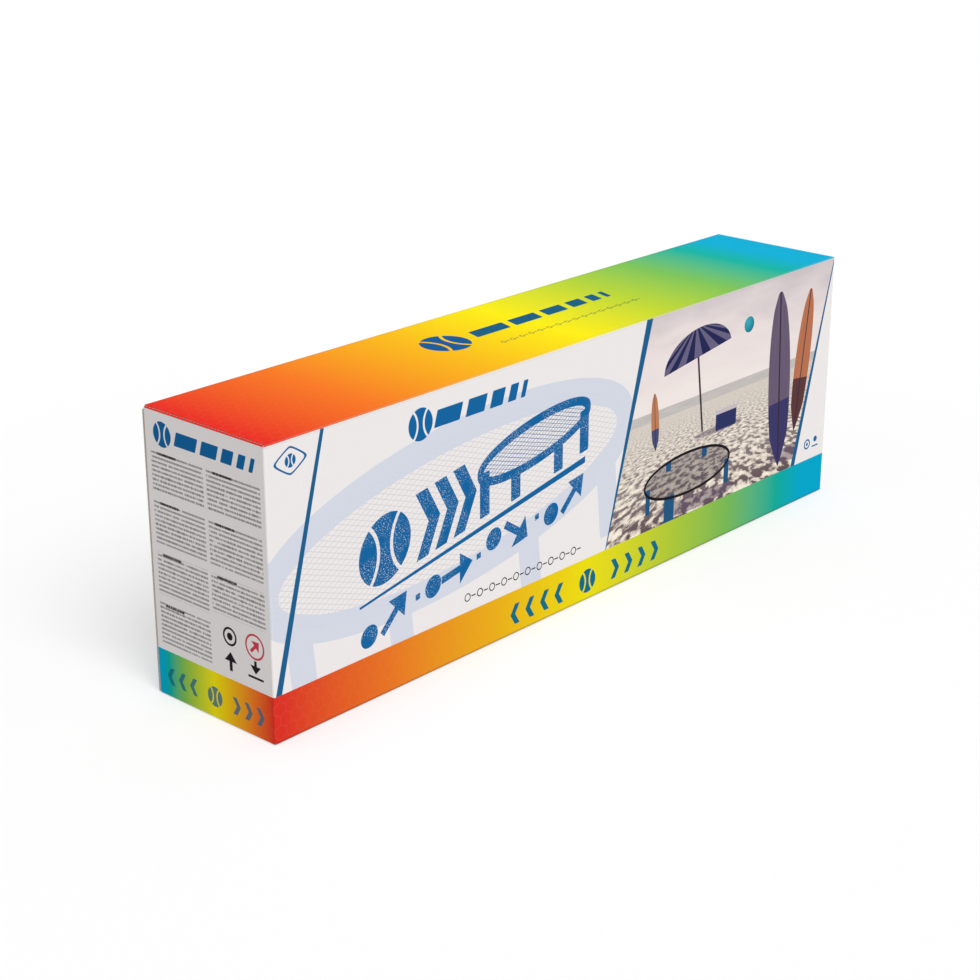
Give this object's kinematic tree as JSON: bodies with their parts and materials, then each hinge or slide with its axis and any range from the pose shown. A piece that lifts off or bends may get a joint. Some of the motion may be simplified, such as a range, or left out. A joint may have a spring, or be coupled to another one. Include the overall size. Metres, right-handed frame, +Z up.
{
  "type": "boxed roundnet set",
  "caption": "Closed tuck-end retail carton with hinged lids and dust flaps, holding a knock-down roundnet game: rim segments, clip-on legs, net, balls, hand pump and bag.",
  "frame": {"origin": "middle of the carton's base, on the surface that it stands on", "axes": "+X along the carton's length, away from the lid at its left end; -Y out of the front panel; +Z up"},
  "size_m": [0.6, 0.112, 0.196],
  "materials": {
    "front_print": "satin litho print on white-lined corrugated board",
    "back_print": "satin litho print on white-lined corrugated board",
    "top_print": "satin litho print, gradient",
    "bottom_print": "satin litho print, gradient",
    "left_lid_print": "satin litho print on white-lined corrugated board",
    "right_lid_print": "satin litho print on white-lined corrugated board",
    "plain_board": "matt unprinted liner",
    "rim_plastic": "satin black moulded plastic",
    "leg_plastic": "satin blue moulded plastic",
    "net_cord": "woven cord",
    "hook_plastic": "matt black moulded plastic",
    "ball_rubber": "matt pebbled rubber",
    "valve_rubber": "matt rubber",
    "barrel_plastic": "satin blue moulded plastic",
    "cap_plastic": "matt black moulded plastic",
    "plunger_plastic": "matt black moulded plastic",
    "needle_metal": "polished",
    "bag_fabric": "woven polyester",
    "leaflet_paper": "uncoated"
  },
  "bodies": {
    "carton": {"front_panel": "front_print", "back_panel": "back_print", "top_panel": "top_print", "bottom_panel": "bottom_print", "glue_flap": "plain_board", "rim_segment_1": "rim_plastic", "rim_segment_2": "rim_plastic", "rim_segment_3": "rim_plastic", "rim_segment_4": "rim_plastic", "rim_segment_5": "rim_plastic", "leg_1": "leg_plastic", "leg_2": "leg_plastic", "leg_3": "leg_plastic", "leg_4": "leg_plastic", "leg_5": "leg_plastic", "net_bundle": "net_cord", "net_hooks": "hook_plastic", "ball_1": "ball_rubber", "ball_2": "ball_rubber", "ball_3": "ball_rubber", "ball_valves": "valve_rubber", "pump_barrel": "barrel_plastic", "pump_cap": "cap_plastic", "pump_needle": "needle_metal", "carry_bag": "bag_fabric", "rules_leaflet": "leaflet_paper"},
    "left_lid": {"left_lid": "left_lid_print"},
    "left_upper_dust_flap": {"left_upper_dust_flap": "plain_board"},
    "left_lower_dust_flap": {"left_lower_dust_flap": "plain_board"},
    "right_lid": {"right_lid": "right_lid_print"},
    "right_upper_dust_flap": {"right_upper_dust_flap": "plain_board"},
    "right_lower_dust_flap": {"right_lower_dust_flap": "plain_board"},
    "plunger": {"pump_plunger": "plunger_plastic"}
  },
  "joints": [
    {"name": "left_lid_hinge", "type": "hinge", "parent": "carton", "child": "left_lid", "pos_m": [-0.3, -0.056, 0.098], "axis": [0, 0, 1], "range_deg": [0, 170]},
    {"name": "left_upper_flap_hinge", "type": "hinge", "parent": "carton", "child": "left_upper_dust_flap", "pos_m": [-0.2982, 0, 0.196], "axis": [0, 1, 0], "range_deg": [0, 85]},
    {"name": "left_lower_flap_hinge", "type": "hinge", "parent": "carton", "child": "left_lower_dust_flap", "pos_m": [-0.2982, 0, 0], "axis": [0, -1, 0], "range_deg": [0, 85]},
    {"name": "right_lid_hinge", "type": "hinge", "parent": "carton", "child": "right_lid", "pos_m": [0.3, -0.056, 0.098], "axis": [0, 0, -1], "range_deg": [0, 170]},
    {"name": "right_upper_flap_hinge", "type": "hinge", "parent": "carton", "child": "right_upper_dust_flap", "pos_m": [0.2982, 0, 0.196], "axis": [0, -1, 0], "range_deg": [0, 85]},
    {"name": "right_lower_flap_hinge", "type": "hinge", "parent": "carton", "child": "right_lower_dust_flap", "pos_m": [0.2982, 0, 0], "axis": [0, 1, 0], "range_deg": [0, 85]},
    {"name": "plunger_slide", "type": "slide", "parent": "carton", "child": "plunger", "axis": [1, 0, 0], "range_m": [0, 0.09]}
  ],
  "couplings": [
    {"joint": "left_upper_flap_hinge", "follows": "left_lid_hinge", "ratio": 0.5},
    {"joint": "left_lower_flap_hinge", "follows": "left_lid_hinge", "ratio": 0.5},
    {"joint": "right_upper_flap_hinge", "follows": "right_lid_hinge", "ratio": 0.5},
    {"joint": "right_lower_flap_hinge", "follows": "right_lid_hinge", "ratio": 0.5}
  ]
}
